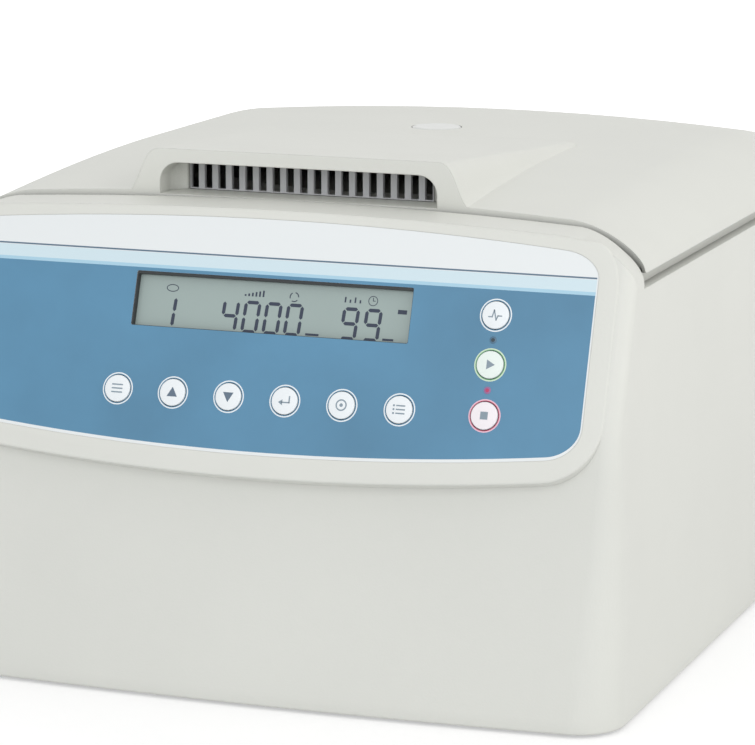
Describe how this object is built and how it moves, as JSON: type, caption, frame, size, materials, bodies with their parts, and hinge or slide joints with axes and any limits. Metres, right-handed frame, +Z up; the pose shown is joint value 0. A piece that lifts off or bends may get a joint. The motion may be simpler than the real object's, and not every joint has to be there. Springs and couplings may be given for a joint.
{
  "type": "gel card centrifuge",
  "caption": "Bench centrifuge with a hinged lid, an air intake hood, a sloping control panel and a swing-out rotor for gel cards in a steel bowl.",
  "frame": {"origin": "on the bench, under the middle of the cabinet's width and depth", "axes": "+Z up, -Y is the front with the control panel, +X is to the right as seen from the front"},
  "size_m": [0.38, 0.47, 0.2655],
  "materials": {
    "cabinet": "fine texture",
    "lid": "fine texture",
    "overlay": "satin film",
    "display": "display face",
    "key_white": "satin",
    "key_green": "satin",
    "key_red": "satin",
    "lamp_dark": "lens",
    "lamp_red": "lens",
    "dark_plastic": "moulded",
    "port": "clear plug",
    "rubber": "matte",
    "steel": "brushed",
    "aluminium": "anodised",
    "zinc_sheet": "plated sheet",
    "board": "circuit board",
    "motor": "painted",
    "holder": "moulded"
  },
  "bodies": {
    "cabinet": {"cabinet_shell": "cabinet", "base_plate": "zinc_sheet", "rear_panel": "zinc_sheet", "chamber_bowl": "steel", "chamber_gasket": "rubber", "motor_plate": "zinc_sheet", "motor_housing": "motor", "shaft_boot": "rubber", "drive_board": "board", "lock_housing": "dark_plastic", "power_inlet": "dark_plastic", "foot_front_left": "rubber", "foot_front_right": "rubber", "foot_rear_left": "rubber", "foot_rear_right": "rubber", "damper_1": "rubber", "damper_2": "rubber", "damper_3": "rubber", "hinge_bracket_left": "zinc_sheet", "hinge_bracket_right": "zinc_sheet", "hinge_pin_left": "steel", "hinge_pin_right": "steel", "lid_spring_left": "steel", "lid_spring_right": "steel", "panel_overlay": "overlay", "lcd_module": "display", "control_board": "board", "lamp_upper": "lamp_dark", "lamp_lower": "lamp_red"},
    "lid": {"lid_shell": "lid", "lid_liner": "lid", "lid_grille": "dark_plastic", "viewing_port": "port", "lid_catch": "steel"},
    "bolt": {"lock_bolt": "steel"},
    "rocker": {"power_rocker": "dark_plastic"},
    "rotor": {"rotor_spindle": "steel", "rotor_body": "aluminium", "rotor_nut": "dark_plastic"},
    "holder_01": {"card_holder_01": "holder"},
    "holder_02": {"card_holder_02": "holder"},
    "holder_03": {"card_holder_03": "holder"},
    "holder_04": {"card_holder_04": "holder"},
    "holder_05": {"card_holder_05": "holder"},
    "holder_06": {"card_holder_06": "holder"},
    "holder_07": {"card_holder_07": "holder"},
    "holder_08": {"card_holder_08": "holder"},
    "holder_09": {"card_holder_09": "holder"},
    "holder_10": {"card_holder_10": "holder"},
    "holder_11": {"card_holder_11": "holder"},
    "holder_12": {"card_holder_12": "holder"},
    "set": {"key_set": "key_white"},
    "up": {"key_up": "key_white"},
    "down": {"key_down": "key_white"},
    "enter": {"key_enter": "key_white"},
    "rcf": {"key_rcf": "key_white"},
    "program": {"key_program": "key_white"},
    "pulse": {"key_pulse": "key_white"},
    "start": {"key_start": "key_green"},
    "stop": {"key_stop": "key_red"}
  },
  "joints": [
    {"name": "lid_hinge", "type": "hinge", "parent": "cabinet", "child": "lid", "pos_m": [0, 0.2215, 0.222], "axis": [-1, 0, 0], "range_deg": [0, 75]},
    {"name": "bolt_slide", "type": "slide", "parent": "cabinet", "child": "bolt", "axis": [-1, 0, 0], "range_m": [0, 0.008]},
    {"name": "rocker_tip", "type": "hinge", "parent": "cabinet", "child": "rocker", "pos_m": [-0.104, 0.227, 0.08], "axis": [-1, 0, 0], "range_deg": [0, 16]},
    {"name": "rotor_spin", "type": "hinge", "parent": "cabinet", "child": "rotor", "pos_m": [0, 0.056, 0.17], "axis": [0, 0, 1], "continuous": true},
    {"name": "holder_01_swing", "type": "hinge", "parent": "rotor", "child": "holder_01", "pos_m": [0.075, 0.056, 0.176], "axis": [0, -1, 0], "range_deg": [0, 90]},
    {"name": "holder_02_swing", "type": "hinge", "parent": "rotor", "child": "holder_02", "pos_m": [0.06495, 0.0935, 0.176], "axis": [0.5, -0.866, 0], "range_deg": [0, 90]},
    {"name": "holder_03_swing", "type": "hinge", "parent": "rotor", "child": "holder_03", "pos_m": [0.0375, 0.12095, 0.176], "axis": [0.866, -0.5, 0], "range_deg": [0, 90]},
    {"name": "holder_04_swing", "type": "hinge", "parent": "rotor", "child": "holder_04", "pos_m": [0, 0.131, 0.176], "axis": [1, 0, 0], "range_deg": [0, 90]},
    {"name": "holder_05_swing", "type": "hinge", "parent": "rotor", "child": "holder_05", "pos_m": [-0.0375, 0.12095, 0.176], "axis": [0.866, 0.5, 0], "range_deg": [0, 90]},
    {"name": "holder_06_swing", "type": "hinge", "parent": "rotor", "child": "holder_06", "pos_m": [-0.06495, 0.0935, 0.176], "axis": [0.5, 0.866, 0], "range_deg": [0, 90]},
    {"name": "holder_07_swing", "type": "hinge", "parent": "rotor", "child": "holder_07", "pos_m": [-0.075, 0.056, 0.176], "axis": [0, 1, 0], "range_deg": [0, 90]},
    {"name": "holder_08_swing", "type": "hinge", "parent": "rotor", "child": "holder_08", "pos_m": [-0.06495, 0.0185, 0.176], "axis": [-0.5, 0.866, 0], "range_deg": [0, 90]},
    {"name": "holder_09_swing", "type": "hinge", "parent": "rotor", "child": "holder_09", "pos_m": [-0.0375, -0.00895, 0.176], "axis": [-0.866, 0.5, 0], "range_deg": [0, 90]},
    {"name": "holder_10_swing", "type": "hinge", "parent": "rotor", "child": "holder_10", "pos_m": [0, -0.019, 0.176], "axis": [-1, 0, 0], "range_deg": [0, 90]},
    {"name": "holder_11_swing", "type": "hinge", "parent": "rotor", "child": "holder_11", "pos_m": [0.0375, -0.00895, 0.176], "axis": [-0.866, -0.5, 0], "range_deg": [0, 90]},
    {"name": "holder_12_swing", "type": "hinge", "parent": "rotor", "child": "holder_12", "pos_m": [0.06495, 0.0185, 0.176], "axis": [-0.5, -0.866, 0], "range_deg": [0, 90]},
    {"name": "set_press", "type": "slide", "parent": "cabinet", "child": "set", "axis": [0, 0.9426, -0.3338], "range_m": [0, 0.0007], "stiffness_N_per_m": 1500, "springref_m": -0.0006},
    {"name": "up_press", "type": "slide", "parent": "cabinet", "child": "up", "axis": [0, 0.9426, -0.3338], "range_m": [0, 0.0007], "stiffness_N_per_m": 1500, "springref_m": -0.0006},
    {"name": "down_press", "type": "slide", "parent": "cabinet", "child": "down", "axis": [0, 0.9426, -0.3338], "range_m": [0, 0.0007], "stiffness_N_per_m": 1500, "springref_m": -0.0006},
    {"name": "enter_press", "type": "slide", "parent": "cabinet", "child": "enter", "axis": [0, 0.9426, -0.3338], "range_m": [0, 0.0007], "stiffness_N_per_m": 1500, "springref_m": -0.0006},
    {"name": "rcf_press", "type": "slide", "parent": "cabinet", "child": "rcf", "axis": [0, 0.9426, -0.3338], "range_m": [0, 0.0007], "stiffness_N_per_m": 1500, "springref_m": -0.0006},
    {"name": "program_press", "type": "slide", "parent": "cabinet", "child": "program", "axis": [0, 0.9426, -0.3338], "range_m": [0, 0.0007], "stiffness_N_per_m": 1500, "springref_m": -0.0006},
    {"name": "pulse_press", "type": "slide", "parent": "cabinet", "child": "pulse", "axis": [0, 0.9426, -0.3338], "range_m": [0, 0.0007], "stiffness_N_per_m": 1500, "springref_m": -0.0006},
    {"name": "start_press", "type": "slide", "parent": "cabinet", "child": "start", "axis": [0, 0.9426, -0.3338], "range_m": [0, 0.0007], "stiffness_N_per_m": 1500, "springref_m": -0.0006},
    {"name": "stop_press", "type": "slide", "parent": "cabinet", "child": "stop", "axis": [0, 0.9426, -0.3338], "range_m": [0, 0.0007], "stiffness_N_per_m": 1500, "springref_m": -0.0006}
  ]
}
